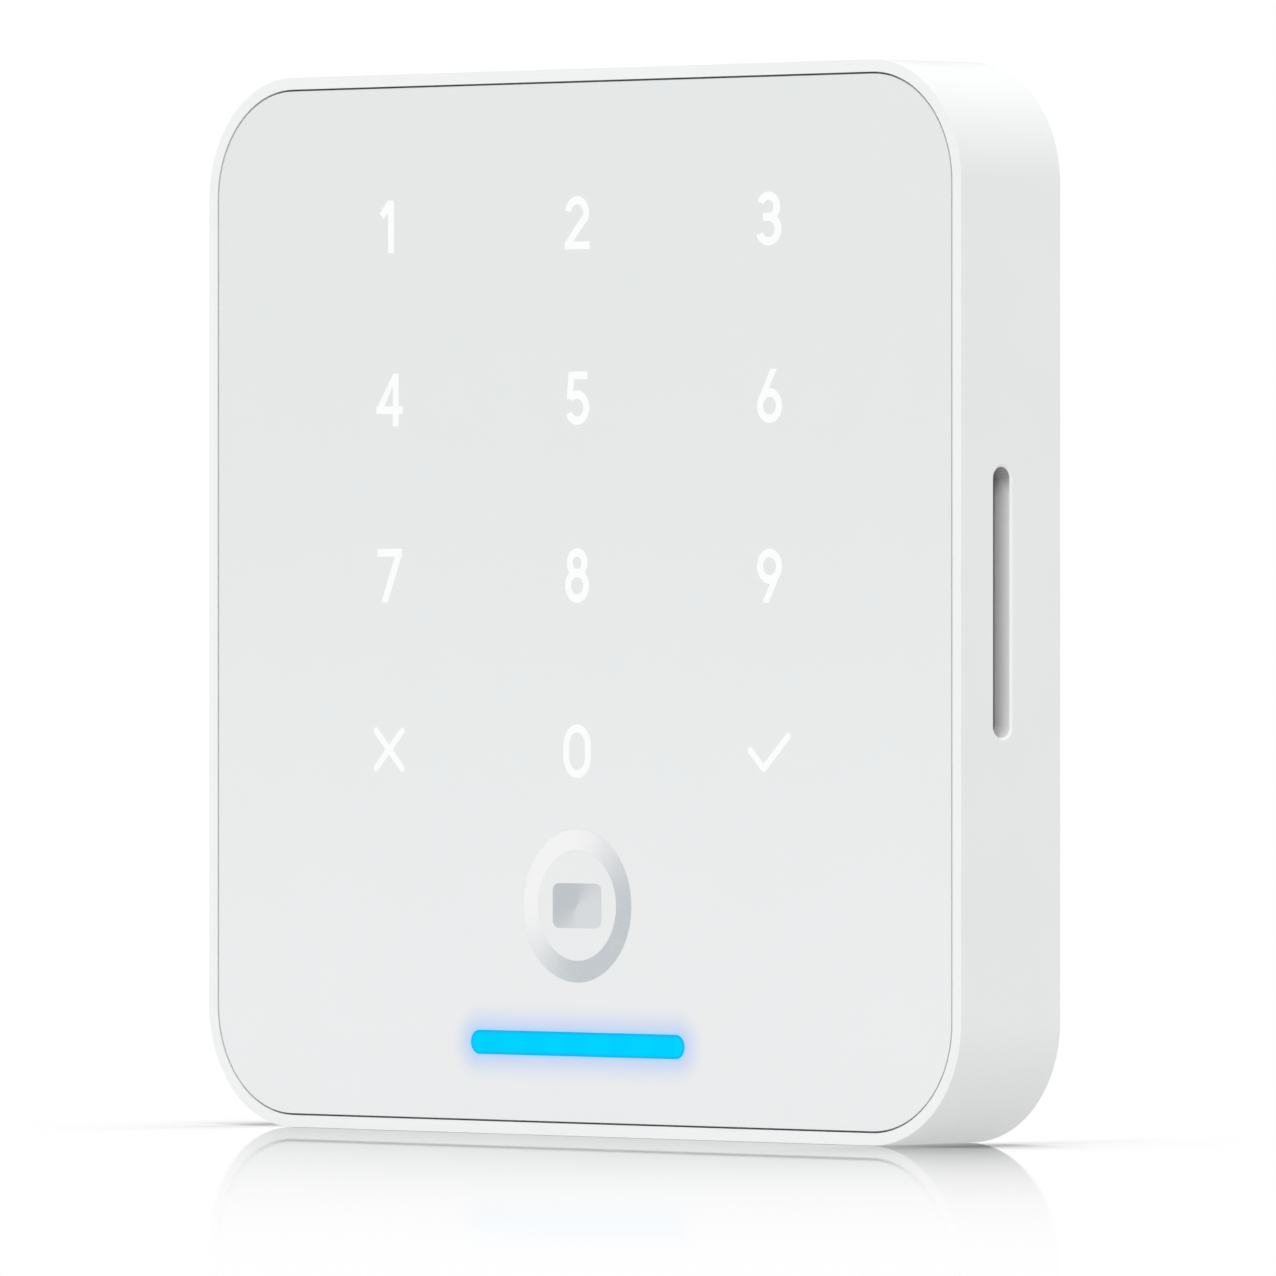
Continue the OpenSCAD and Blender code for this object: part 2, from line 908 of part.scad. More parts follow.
module rear_label() {
    color("white") slab(cover_back - 0.15, cover_back)
        at(label_x, label_z) rounded(label_w - 0.2, label_h - 0.2, 1.1);
}

module vent_membrane() {
    color("darkgray") rod_y(vent_x, vent_z, vent_r, cover_back - 0.3, cover_back - 0.05);
}

module rear_seal() {
    color("black") slab(seal_front, cover_front) difference() {
        outline(rebate_half - 0.2);
        outline(cavity_half + 0.3);
        // The seal stops at the lock screw's boss
        at(0, -half) square([2 * lock_pocket_half, 8], center = true);
    }
}

module cover_inserts() {
    color("goldenrod") for (x = [-post_at, post_at]) {
        for (z = [-post_at, post_at]) {
            difference() {
                rod_y(x, z, insert_r, cover_front - 4, cover_front);
                rod_y(x, z, 1.05, cover_front - 5, cover_front + 1);
            }
        }
    }
}

module cover_screws() {
    color("silver") for (x = [-post_at, post_at]) {
        for (z = [-post_at, post_at]) {
            screw_y(x, z, 1, 2, 1.2, cover_back, 5);
        }
    }
}

// ---------- lock screw ----------

module lock_insert() {
    color("goldenrod") difference() {
        rod_z(0, lock_y, lock_insert_r, -half + lock_bore_h, lock_boss_top);
        rod_z(0, lock_y, lock_r + 0.06, -half, lock_boss_top + 1);
    }
}

// Small sealing ring under the lock screw's head
module lock_oring() {
    ring_r = 0.34;
    color("black") translate([0, lock_y, (lock_head_top - half + lock_bore_h) / 2]) rotate_extrude()
        translate([lock_r + ring_r + 0.06, 0]) circle(r = ring_r, $fn = 24);
}

module lock_screw() {
    socket_depth = 1.4;
    color("silver") difference() {
        union() {
            rod_z(0, lock_y, lock_head_r, lock_head_low, lock_head_top);
            rod_z(0, lock_y, lock_r, lock_head_low + 0.5, lock_tip);
        }
        // Hexagon socket
        translate([0, lock_y, lock_head_low - 1]) cylinder(r = 1.15, h = socket_depth + 1, $fn = 6);
    }
}

// ---------- tamper plunger and reset button ----------

plunger_tip = -0.1;
flange_y = -5.3;

module tamper_plunger() {
    color("white") {
        rod_y(tamper_x, tamper_z, tamper_r, flange_y, plunger_tip);
        rod_y(tamper_x, tamper_z, 2.9, flange_y, flange_y + 0.6);
    }
}

spring_r = 2.1;
spring_wire = 0.1;
spring_turns = 2;
spring_steps = 16;
ring_sides = 8;
spring_low = board_back + 0.8 + spring_wire;
spring_high = flange_y - spring_wire;

// Point of the spring's wire: i counts along the wire, k counts round it
function spring_point(i, k) =
    let (turn = 360 * i / spring_steps,
         round = 360 * k / ring_sides,
         r = spring_r + spring_wire * cos(round),
         y = spring_low + (spring_high - spring_low) * i / (spring_steps * spring_turns)
             + spring_wire * sin(round))
    [tamper_x + r * cos(turn), y, tamper_z + r * sin(turn)];

module tamper_spring() {
    last = spring_steps * spring_turns;
    points = [for (i = [0 : last]) for (k = [0 : ring_sides - 1]) spring_point(i, k)];
    // Two triangles between each pair of neighbouring wires' corners
    sides = [for (i = [0 : last - 1]) for (k = [0 : ring_sides - 1])
        let (n = (k + 1) % ring_sides, a = i * ring_sides, b = a + ring_sides)
        each [[a + k, a + n, b + n], [a + k, b + n, b + k]]];
    start = [for (k = [ring_sides - 1 : -1 : 0]) k];
    end = [for (k = [0 : ring_sides - 1]) last * ring_sides + k];
    color("silver") polyhedron(points, concat(sides, [start, end]));
}

module reset_button() {
    color("gray") {
        rod_y(reset_x, reset_z, reset_r, -5.2, cover_back - 0.2);
        rod_y(reset_x, reset_z, 0.75, -6.4, -5.2);
        rod_y(reset_x, reset_z, 2.4, -4.4, -3.8);
    }
}

// ---------- wall plate ----------

module wall_plate() {
    color("lightsteelblue") difference() {
        union() {
            slab(-plate_t, 0) difference() {
                at(0, (plate_low + plate_high) / 2) rounded(2 * plate_half_w, plate_high - plate_low, 8);
                at(0, (window_low + window_high) / 2) rounded(2 * window_half, window_high - window_low, 4);
                // Slots for the wall screws
                for (side = [-1, 1]) {
                    at(0, side * gang_pitch / 2) oblong(fix_slot_l, fix_slot_w, 90);
                    at(side * box_pitch / 2, 0) oblong(fix_slot_l, fix_slot_w);
                }
                // Windows that the hooks are bent out of
                for (x = [-hook_x, hook_x]) {
                    for (z = hook_rows) {
                        at(x, z + 2.2) square([hook_w + 1, 4.4], center = true);
                    }
                }
            }
            // Hooks
            for (x = [-hook_x, hook_x]) {
                for (z = hook_rows) {
                    span_box([x - hook_w / 2, lip_front, z - hook_t], [x + hook_w / 2, -plate_t / 2, z]);
                    span_box([x - hook_w / 2, lip_front, z - hook_t / 2],
                             [x + hook_w / 2, lip_back, z + hook_lip]);
                }
            }
            // Foot tab
            span_box([-tab_half, tab_front, plate_low], [tab_half, -plate_t / 2, tab_top]);
        }
        rod_z(0, lock_y, lock_r + 0.2, plate_low - 1, tab_top + 1);
    }
}

// ---------- assembly ----------

housing();
front_panel();
key_legends();
tap_ring();
tap_card();
status_light_bar();
panel_adhesive();
touch_sensor_film();
key_light_frame();
keypad_board();
key_leds();
status_leds();
nfc_antenna_coil();
ferrite_sheet();
mid_frame();
keypad_flex();
flex_connectors();
main_board();
board_screws();
shield_can();
poe_transformer();
power_inductor();
board_chips();
board_capacitors();
network_jack();
jack_insert();
jack_contacts();
speaker();
speaker_cone();
speaker_gasket();
sound_mesh();
tamper_switch();
reset_switch();
rear_cover();
rear_seal();
cover_inserts();
cover_screws();
vent_membrane();
rear_label();
lock_insert();
lock_oring();
lock_screw();
tamper_plunger();
tamper_spring();
reset_button();
wall_plate();
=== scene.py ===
"""Looks of the wall-mounted card reader: camera, light, floor, edges and procedural materials."""
import json
import math

import bpy
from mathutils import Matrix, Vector

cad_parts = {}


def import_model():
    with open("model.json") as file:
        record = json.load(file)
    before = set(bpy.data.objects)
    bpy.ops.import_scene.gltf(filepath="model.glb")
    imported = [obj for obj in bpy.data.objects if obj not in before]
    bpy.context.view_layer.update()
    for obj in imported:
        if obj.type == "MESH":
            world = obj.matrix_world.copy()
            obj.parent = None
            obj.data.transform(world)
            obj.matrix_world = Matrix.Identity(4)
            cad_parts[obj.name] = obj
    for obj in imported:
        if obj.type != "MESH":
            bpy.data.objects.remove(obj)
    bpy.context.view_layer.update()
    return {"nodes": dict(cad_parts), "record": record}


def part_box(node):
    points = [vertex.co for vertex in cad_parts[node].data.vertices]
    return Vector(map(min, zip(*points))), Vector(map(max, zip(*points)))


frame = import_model()
NODES = frame["nodes"]
MM = 0.001

# Light bar on the panel, in millimetres: the length of its outline, its width and its height above the centre
BAR_LENGTH = 32.4
BAR_WIDTH = 2.6
BAR_HEIGHT = -47.2


# ---------- materials ----------

class Look:
    """A procedural material around one Principled shader. Sizes are in millimetres of the object."""

    def __init__(self, name, **values):
        self.material = bpy.data.materials.new(name)
        self.material.use_nodes = True
        self.tree = self.material.node_tree
        self.shader = self.tree.nodes["Principled BSDF"]
        self.place = self.add("TexCoord").outputs["Object"]
        self.heights = []
        for key, value in values.items():
            self.shader.inputs[key.replace("_", " ")].default_value = value

    def add(self, kind, **settings):
        node = self.tree.nodes.new("ShaderNode" + kind)
        for key, value in settings.items():
            setattr(node, key, value)
        return node

    def join(self, source, target):
        self.tree.links.new(source, target)

    def stretched(self, stretch):
        """Object coordinates with each axis divided by its stretch, so that a pattern grows along it."""
        mapping = self.add("Mapping")
        mapping.inputs["Scale"].default_value = [1 / s for s in stretch]
        self.join(self.place, mapping.inputs["Vector"])
        return mapping.outputs["Vector"]

    def noise(self, size, detail=2.0, stretch=(1, 1, 1), roughness=0.5):
        node = self.add("TexNoise")
        node.inputs["Scale"].default_value = 1 / (size * MM)
        node.inputs["Detail"].default_value = detail
        node.inputs["Roughness"].default_value = roughness
        self.join(self.stretched(stretch), node.inputs["Vector"])
        return node.outputs["Fac"]

    def cells(self, size, output="Distance", stretch=(1, 1, 1), feature="F1"):
        node = self.add("TexVoronoi", feature=feature)
        node.inputs["Scale"].default_value = 1 / (size * MM)
        self.join(self.stretched(stretch), node.inputs["Vector"])
        return node.outputs[output]

    def waves(self, size, axis):
        """Parallel ridges across an axis of the object, one per size."""
        node = self.add("TexWave", wave_type="BANDS", bands_direction=axis)
        node.inputs["Scale"].default_value = math.pi / (10 * size * MM)
        self.join(self.place, node.inputs["Vector"])
        return node.outputs["Fac"]

    def axis(self, letter):
        split = self.add("SeparateXYZ")
        self.join(self.place, split.inputs[0])
        return split.outputs[letter]

    def math(self, operation, first, second=None):
        node = self.add("Math", operation=operation)
        for socket, value in zip(node.inputs, (first, second)):
            if isinstance(value, (int, float)):
                socket.default_value = value
            elif value is not None:
                self.join(value, socket)
        return node.outputs[0]

    def spread(self, source, low, high, start=0.3, end=0.7):
        """Maps start..end of a source to low..high, smoothly and clamped."""
        node = self.add("MapRange", interpolation_type="SMOOTHSTEP")
        values = {"From Min": start, "From Max": end, "To Min": low, "To Max": high}
        for key, value in values.items():
            node.inputs[key].default_value = value
        self.join(source, node.inputs["Value"])
        return node.outputs["Result"]

    def blend(self, factor, first, second):
        """Colour from first to second by a factor. Either may be a colour or a socket."""
        node = self.add("Mix", data_type="RGBA")
        self.join(factor, node.inputs[0])
        for socket, value in ((node.inputs[6], first), (node.inputs[7], second)):
            if isinstance(value, tuple):
                socket.default_value = (*value, 1)
            else:
                self.join(value, socket)
        return node.outputs[2]

    def colour(self, source):
        self.join(source, self.shader.inputs["Base Color"])
        return self

    def rough(self, source):
        self.join(source, self.shader.inputs["Roughness"])
        return self

    def relief(self, source, depth):
        """Adds a height field of this depth in millimetres to the surface."""
        bump = self.add("Bump")
        bump.inputs["Distance"].default_value = depth * MM
        self.join(source, bump.inputs["Height"])
        if self.heights:
            self.join(self.heights[-1], bump.inputs["Normal"])
        self.heights.append(bump.outputs["Normal"])
        self.join(self.heights[-1], self.shader.inputs["Normal"])
        return self

    def edges(self, start=0.52, end=0.6):
        """1 on outer edges and corners, 0 elsewhere."""
        return self.spread(self.add("NewGeometry").outputs["Pointiness"], 0, 1, start, end)


def shade(colour, factor):
    return tuple(min(1.0, c * factor) for c in colour)


def plastic(name, colour, roughness=0.4, grain=0.3, depth=0.006, mottle=0.02, wear=0.0, **values):
    """Moulded plastic: spark-eroded grain, faint flow mottling and a rub on the edges."""
    look = Look(name, **values)
    flow = look.noise(18, 3)
    base = look.blend(look.spread(flow, 0, 1), shade(colour, 1 - mottle), shade(colour, 1 + mottle / 2))
    if wear:
        rubbed = look.math("MULTIPLY", look.edges(), look.spread(look.noise(3, 4), 0, wear))
        base = look.blend(rubbed, base, shade(colour, 1.25))
    look.colour(base)
    smudges = look.noise(9, 5, roughness=0.6)
    look.rough(look.spread(smudges, roughness - 0.05, roughness + 0.07))
    look.relief(look.noise(grain, 3), depth)
    return look


def sheet_metal(name, colour, roughness=0.3, along=(14, 1, 1), spangle=0.0):
    """Rolled metal: fine lines along the rolling direction, cloudy tone and edge wear."""
    look = Look(name, Metallic=1.0)
    lines = look.noise(0.12, 3, along)
    cloud = look.noise(6, 4)
    tone = look.blend(look.spread(cloud, 0, 1), shade(colour, 0.86), shade(colour, 1.06))
    if spangle:
        flakes = look.cells(spangle, "Color")
        grey = look.add("RGBToBW")
        look.join(flakes, grey.inputs[0])
        tone = look.blend(look.spread(grey.outputs[0], 0, 0.3, 0, 1), tone, shade(colour, 0.72))
    tone = look.blend(look.math("MULTIPLY", look.edges(), 0.5), tone, shade(colour, 1.2))
    look.colour(tone)
    look.rough(look.spread(lines, roughness - 0.07, roughness + 0.12))
    look.relief(lines, 0.002)
    return look


def machined(name, colour, roughness=0.25, pitch=0.5):
    """Turned metal: rings around its length, and scratches."""
    look = Look(name, Metallic=1.0)
    scratches = look.noise(0.5, 5, (1, 1, 6), 0.7)
    stain = look.spread(look.noise(2.5, 4), 0, 1)
    look.colour(look.blend(stain, shade(colour, 0.82), shade(colour, 1.08)))
    look.rough(look.spread(scratches, roughness - 0.06, roughness + 0.15))
    look.relief(look.waves(pitch, "Z"), 0.01)
    look.relief(scratches, 0.003)
    return look


def circuit_board():
    """Solder mask over copper: routed tracks show as a faint relief and a lighter green."""
    look = Look("circuit_board", Coat_Weight=0.4, Coat_Roughness=0.15)
    routes = look.cells(2.6, "Distance", (1, 1, 3), "DISTANCE_TO_EDGE")
    tracks = look.spread(routes, 1, 0, 0.05, 0.1)
    base = look.blend(tracks, (0.012, 0.13, 0.055), (0.03, 0.24, 0.1))
    look.colour(look.blend(look.spread(look.noise(20, 3), 0, 0.35), base, (0.02, 0.1, 0.05)))
    look.rough(look.spread(look.noise(0.8, 4), 0.28, 0.42))
    look.relief(tracks, 0.03)
    return look


def slot_painted_light(look, housing_colour):
    """Colour of the housing with its sound slot, with painted shade that makes it darker deep down and at its
    top, and a painted highlight of pure white on its lip.
    """
    low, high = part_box("sound_mesh")
    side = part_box("housing")[1].x
    margin = 0.4 * MM
    mouth = side - 0.26 * MM
    white = (1.0, 1.0, 1.0)
    off_centre = look.math("ABSOLUTE", look.math("SUBTRACT", look.axis("Y"), (low.y + high.y) / 2))
    across = look.math("SUBTRACT", off_centre, (high.y - low.y) / 2)
    along = look.math("SUBTRACT", look.math("ABSOLUTE", look.axis("Z")), high.z)
    around = look.math("LESS_THAN", look.math("MAXIMUM", across, along), margin)
    depth = look.spread(look.axis("X"), 1, 0, low.x, mouth - 0.01 * MM)
    crown = look.spread(look.axis("Z"), 0, 1, high.z - 3.4 * MM, high.z - 0.6 * MM)
    # Painted shade: grey deep in the slot, darker still towards its top end
    painted_shade = look.blend(crown, (0.76, 0.76, 0.765), (0.34, 0.34, 0.345))
    inside = look.blend(look.math("MAXIMUM", depth, look.math("MULTIPLY", crown, 0.75)), white, painted_shade)
    # Painted highlight: pure white along the slot's mouth and lip, lighter than the housing
    inside = look.blend(look.spread(look.axis("X"), 0, 1, mouth, mouth + 0.04 * MM), inside, white)
    middle = (low.x - 1 * MM + side) / 2
    off_middle = look.math("ABSOLUTE", look.math("SUBTRACT", look.axis("X"), middle))
    below_skin = look.math("LESS_THAN", off_middle, side - 0.005 * MM - middle)
    return look.blend(look.math("MULTIPLY", around, below_skin), housing_colour, inside)


def housing_white():
    """Satin white polycarbonate."""
    look = plastic("housing_white", (0.912, 0.93, 0.926), 0.34, 0.22, 0.0035, 0.008,
                   Specular_IOR_Level=0.45, Coat_Weight=0.12, Coat_Roughness=0.2)
    housing_colour = look.shader.inputs["Base Color"].links[0].from_socket
    # The sound slot gets painted shade inside and a painted highlight on its lip
    look.colour(slot_painted_light(look, housing_colour))
    return look


def bar_gap(look):
    """Distance from the outline of the light bar on the panel, negative inside it."""
    straight = (BAR_LENGTH - BAR_WIDTH) / 2 * MM
    beyond = look.math("SUBTRACT", look.math("ABSOLUTE", look.axis("X")), straight)
    beyond = look.math("MAXIMUM", beyond, 0)
    above = look.math("SUBTRACT", look.axis("Z"), BAR_HEIGHT * MM)
    squares = look.math("ADD", look.math("MULTIPLY", beyond, beyond), look.math("MULTIPLY", above, above))
    return look.math("SUBTRACT", look.math("SQRT", squares), BAR_WIDTH / 2 * MM)


def panel_white():
    """Hard-coated light grey panel that carries the glow of the light bar."""
    look = Look("panel_white", Specular_IOR_Level=0.4)
    # Painted light: the panel's colour grows lighter towards its bottom
    rise = look.spread(look.axis("Z"), 1, 0, -0.055, 0.035)
    cloud = look.spread(look.noise(25, 3), 0, 1)
    base = look.blend(rise, (0.81, 0.834, 0.829), (0.868, 0.884, 0.888))
    base = look.blend(look.math("MULTIPLY", cloud, 0.12), base, (0.82, 0.835, 0.838))
    # Painted glow of the light bar: the panel's colour turns blue around the bar and cyan along its outline,
    # and the panel gives off a faint blue light there
    gap = bar_gap(look)
    near = look.math("POWER", look.spread(gap, 1, 0, -0.4 * MM, 3.6 * MM), 1.4)
    base = look.blend(look.math("MULTIPLY", near, 0.85), base, (0.5, 0.61, 0.88))
    painted_glow_edge = look.spread(gap, 0.7, 0, 0.05 * MM, 0.5 * MM)
    look.colour(look.blend(painted_glow_edge, base, (0.34, 0.7, 1.0)))
    look.join(look.blend(near, (0, 0, 0), (0.025, 0.04, 0.065)), look.shader.inputs["Emission Color"])
    look.shader.inputs["Emission Strength"].default_value = 1.0
    look.rough(look.spread(look.noise(7, 5, roughness=0.6), 0.3, 0.42))
    look.relief(look.noise(0.6, 2), 0.0015)
    return look


def legend_light():
    """Translucent digits lit from behind, slightly uneven in brightness."""
    look = Look("legend_light", Base_Color=(0.85, 0.85, 0.85, 1), Specular_IOR_Level=0.3)
    glow = look.spread(look.noise(1.4, 2), 0, 1)
    look.join(look.blend(glow, (0.9, 0.91, 0.93), (1, 1, 1)), look.shader.inputs["Emission Color"])
    look.shader.inputs["Emission Strength"].default_value = 0.16
    look.rough(look.spread(look.noise(0.3, 2), 0.3, 0.4))
    return look


def status_blue():
    """Light pipe: bright cyan core, deeper blue along its outline, and the faint spots of its lamps."""
    look = Look("status_blue", Base_Color=(0, 0.03, 0.05, 1), Specular_IOR_Level=0.0, Roughness=0.35)
    edge = look.spread(bar_gap(look), 0, 1, -0.45 * MM, -0.02 * MM)
    lamps = look.spread(look.waves(6.48, "X"), 0, 1)
    core = look.blend(lamps, (0.0005, 0.605, 0.97), (0.0005, 0.62, 0.985))
    look.join(look.blend(edge, core, (0.01, 0.42, 0.78)), look.shader.inputs["Emission Color"])
    look.shader.inputs["Emission Strength"].default_value = 1.0
    look.relief(look.noise(0.4, 2), 0.001)
    return look


def silver(name, light, dark, turn):
    """Metallic print whose tone goes round its centre, brightest at the angle turn in radians."""
    look = Look(name, Metallic=0.2, Specular_IOR_Level=0.5)
    low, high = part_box("tap_ring")
    up = look.math("SUBTRACT", look.axis("Z"), (low.z + high.z) / 2)
    angle = look.math("SUBTRACT", look.math("ARCTAN2", up, look.axis("X")), turn)
    tone = look.blend(look.spread(look.math("COSINE", angle), 0, 1, -0.8, 0.8), dark, light)
    flakes = look.spread(look.cells(0.12, "Distance"), 0, 0.15)
    look.colour(look.blend(flakes, tone, shade(light, 1.05)))
    look.rough(look.spread(look.noise(0.2, 3), 0.3, 0.45))
    look.relief(look.noise(0.15, 2), 0.001)
    return look


def woven(name, colour, pitch, roughness=0.8):
    """Fine square weave with holes between its threads."""
    look = Look(name, Roughness=roughness)
    over = look.waves(pitch, "Y")
    under = look.waves(pitch, "Z")
    weave = look.math("MULTIPLY", over, under)
    look.colour(look.blend(look.spread(weave, 0, 1, 0.05, 0.6), shade(colour, 0.2), colour))
    look.rough(look.spread(weave, roughness, roughness - 0.2))
    look.relief(weave, 0.05)
    return look


def foam(name, colour, size=0.35):
    """Cellular foam or sintered sheet."""
    look = Look(name, Specular_IOR_Level=0.2)
    cell = look.cells(size)
    look.colour(look.blend(look.spread(cell, 0, 1, 0.1, 0.6), shade(colour, 0.55), colour))
    look.rough(look.spread(look.noise(2, 3), 0.75, 0.95))
    look.relief(cell, 0.08)
    return look


def rubber(name, colour, roughness=0.55):
    look = plastic(name, colour, roughness, 0.12, 0.01, 0.08)
    look.shader.inputs["Sheen Weight"].default_value = 0.15
    return look


def led():
    """Phosphor window in a white package."""
    look = Look("led", Coat_Weight=0.3)
    spots = look.cells(0.25)
    look.colour(look.blend(look.spread(spots, 0, 1), (0.86, 0.74, 0.3), (0.9, 0.88, 0.8)))
    look.rough(look.spread(look.noise(0.3, 3), 0.25, 0.4))
    look.relief(spots, 0.02)
    return look


def capacitor():
    """Ceramic body with tinned ends, as tone along the part."""
    look = Look("capacitor")
    bands = look.spread(look.waves(2.6, "Z"), 0, 1, 0.25, 0.35)
    look.colour(look.blend(bands, (0.66, 0.64, 0.6), (0.42, 0.29, 0.17)))
    look.rough(look.spread(look.noise(0.5, 4), 0.35, 0.5))
    look.relief(look.noise(0.2, 3), 0.005)
    return look


def knurled_brass():
    """Brass insert with a diamond knurl."""
    look = Look("brass_insert", Metallic=1.0)
    knurl = look.math("MULTIPLY", look.waves(0.5, "DIAGONAL"), look.waves(0.5, "Y"))
    look.colour(look.blend(look.spread(look.noise(1.5, 4), 0, 1), (0.62, 0.42, 0.14), (0.86, 0.64, 0.27)))
    look.rough(look.spread(look.noise(0.4, 4), 0.22, 0.38))
    look.relief(knurl, 0.04)
    return look


def film():
    """Printed sensor film: electrode diamonds on a clear amber base."""
    look = Look("sensor_film", Coat_Weight=0.5)
    diamonds = look.math("MULTIPLY", look.waves(4.7, "X"), look.waves(4.7, "Z"))
    pads = look.spread(diamonds, 0, 1, 0.2, 0.26)
    look.colour(look.blend(pads, (0.5, 0.36, 0.14), (0.62, 0.55, 0.42)))
    look.rough(look.spread(look.noise(4, 4), 0.2, 0.35))
    look.relief(pads, 0.01)
    return look


def transformer():
    """Ferrite core wrapped in yellow-brown tape."""
    look = Look("transformer")
    tape = look.spread(look.waves(3.2, "X"), 0, 1, 0.45, 0.55)
    look.colour(look.blend(tape, (0.055, 0.05, 0.05), (0.5, 0.34, 0.06)))
    look.rough(look.spread(look.noise(0.7, 4), 0.35, 0.6))
    look.relief(look.noise(0.3, 4), 0.02)
    return look


LOOKS = {
    "housing_white": housing_white,
    "panel_white": panel_white,
    "legend_light": legend_light,
    "mark_bright": lambda: silver("mark_bright", (0.98, 0.98, 0.985), (0.56, 0.6, 0.63), 2.4),
    "mark_grey": lambda: silver("mark_grey", (0.74, 0.76, 0.78), (0.54, 0.58, 0.61), -0.7),
    "status_blue": status_blue,
    "adhesive": lambda: foam("adhesive", (0.03, 0.03, 0.03), 0.2),
    "sensor_film": film,
    "light_frame": lambda: plastic("light_frame", (0.86, 0.86, 0.84), 0.5, 0.3, 0.008, 0.03),
    "circuit_board": circuit_board,
    "led": led,
    "copper": lambda: sheet_metal("copper", (0.87, 0.44, 0.24), 0.25),
    "ferrite": lambda: foam("ferrite", (0.07, 0.07, 0.075), 0.15),
    "frame_plastic": lambda: plastic("frame_plastic", (0.52, 0.54, 0.54), 0.5, 0.25, 0.01, 0.04),
    "flex": lambda: plastic("flex", (0.6, 0.26, 0.03), 0.3, 0.8, 0.006, 0.15, Coat_Weight=0.4),
    "connector": lambda: plastic("connector", (0.78, 0.74, 0.62), 0.45, 0.2, 0.008, 0.05),
    "steel_screw": lambda: machined("steel_screw", (0.33, 0.33, 0.34), 0.26),
    "tinned_steel": lambda: sheet_metal("tinned_steel", (0.7, 0.7, 0.68), 0.24),
    "transformer": transformer,
    "inductor": lambda: foam("inductor", (0.16, 0.16, 0.165), 0.12),
    "chip": lambda: plastic("chip", (0.022, 0.022, 0.025), 0.55, 0.12, 0.01, 0.1),
    "capacitor": capacitor,
    "jack_shell": lambda: sheet_metal("jack_shell", (0.52, 0.52, 0.51), 0.2, (1, 1, 14)),
    "jack_plastic": lambda: plastic("jack_plastic", (0.022, 0.022, 0.023), 0.42, 0.2, 0.008, 0.1, 0.3),
    "gold": lambda: sheet_metal("gold", (1.0, 0.71, 0.29), 0.16, (1, 1, 10)),
    "speaker_body": lambda: plastic("speaker_body", (0.03, 0.03, 0.033), 0.5, 0.3, 0.01, 0.1),
    "speaker_cone": lambda: foam("speaker_cone", (0.04, 0.04, 0.04), 0.25),
    "foam": lambda: foam("foam", (0.12, 0.12, 0.125), 0.3),
    "mesh": lambda: woven("mesh", (0.5, 0.5, 0.505), 0.25),
    "switch_black": lambda: plastic("switch_black", (0.03, 0.03, 0.03), 0.4, 0.2, 0.008, 0.1),
    "cover_plastic": lambda: plastic("cover_plastic", (0.44, 0.45, 0.46), 0.5, 0.4, 0.04, 0.05, 0.3),
    "seal": lambda: rubber("seal", (0.025, 0.025, 0.026)),
    "brass_insert": knurled_brass,
    "membrane": lambda: woven("membrane", (0.42, 0.43, 0.44), 0.18, 0.9),
    "label": lambda: plastic("label", (0.82, 0.82, 0.8), 0.6, 0.5, 0.008, 0.03),
    "lock_steel": lambda: machined("lock_steel", (0.4, 0.4, 0.41), 0.22),
    "plunger_white": lambda: plastic("plunger_white", (0.8, 0.8, 0.77), 0.35, 0.3, 0.006, 0.04, 0.2),
    "spring_steel": lambda: machined("spring_steel", (0.58, 0.58, 0.6), 0.2, 0.2),
    "button_grey": lambda: rubber("button_grey", (0.12, 0.125, 0.13)),
    "plate_steel": lambda: sheet_metal("plate_steel", (0.55, 0.57, 0.59), 0.3, (1, 1, 14), 5.0),
}


# ---------- edges ----------

def smooth_group(limit):
    """Geometry nodes that shade smooth, except across edges sharper than the limit."""
    group = bpy.data.node_groups.new("smooth_by_angle", "GeometryNodeTree")
    group.interface.new_socket("Geometry", in_out="INPUT", socket_type="NodeSocketGeometry")
    group.interface.new_socket("Geometry", in_out="OUTPUT", socket_type="NodeSocketGeometry")
    start = group.nodes.new("NodeGroupInput")
    end = group.nodes.new("NodeGroupOutput")
    faces = group.nodes.new("GeometryNodeSetShadeSmooth")
    faces.domain = "FACE"
    sharp = group.nodes.new("GeometryNodeSetShadeSmooth")
    sharp.domain = "EDGE"
    angle = group.nodes.new("GeometryNodeInputMeshEdgeAngle")
    compare = group.nodes.new("FunctionNodeCompare")
    compare.data_type = "FLOAT"
    compare.operation = "LESS_THAN"
    compare.inputs[1].default_value = limit
    group.links.new(start.outputs[0], faces.inputs["Geometry"])
    group.links.new(faces.outputs[0], sharp.inputs["Geometry"])
    group.links.new(angle.outputs["Unsigned Angle"], compare.inputs[0])
    group.links.new(compare.outputs[0], sharp.inputs["Shade Smooth"])
    group.links.new(sharp.outputs[0], end.inputs[0])
    return group


SMOOTH = smooth_group(math.radians(40))


def ease_edges(node, width, segments=2, limit=50):
    """Joins the node's flat faces and rounds its sharp edges by this width in millimetres.

    An edge is sharp when its faces turn by more than the limit in degrees.
    """
    thing = NODES[node]
    weld = thing.modifiers.new("join", "WELD")
    weld.merge_threshold = 0.001 * MM
    flat = thing.modifiers.new("flat", "DECIMATE")
    flat.decimate_type = "DISSOLVE"
    flat.angle_limit = math.radians(0.4)
    if width:
        bevel = thing.modifiers.new("edge", "BEVEL")
        bevel.width = width * MM
        bevel.segments = segments
        bevel.limit_method = "ANGLE"
        bevel.angle_limit = math.radians(limit)
        bevel.use_clamp_overlap = True
    smooth = thing.modifiers.new("smooth", "NODES")
    smooth.node_group = SMOOTH
    even = thing.modifiers.new("even", "WEIGHTED_NORMAL")
    even.keep_sharp = True


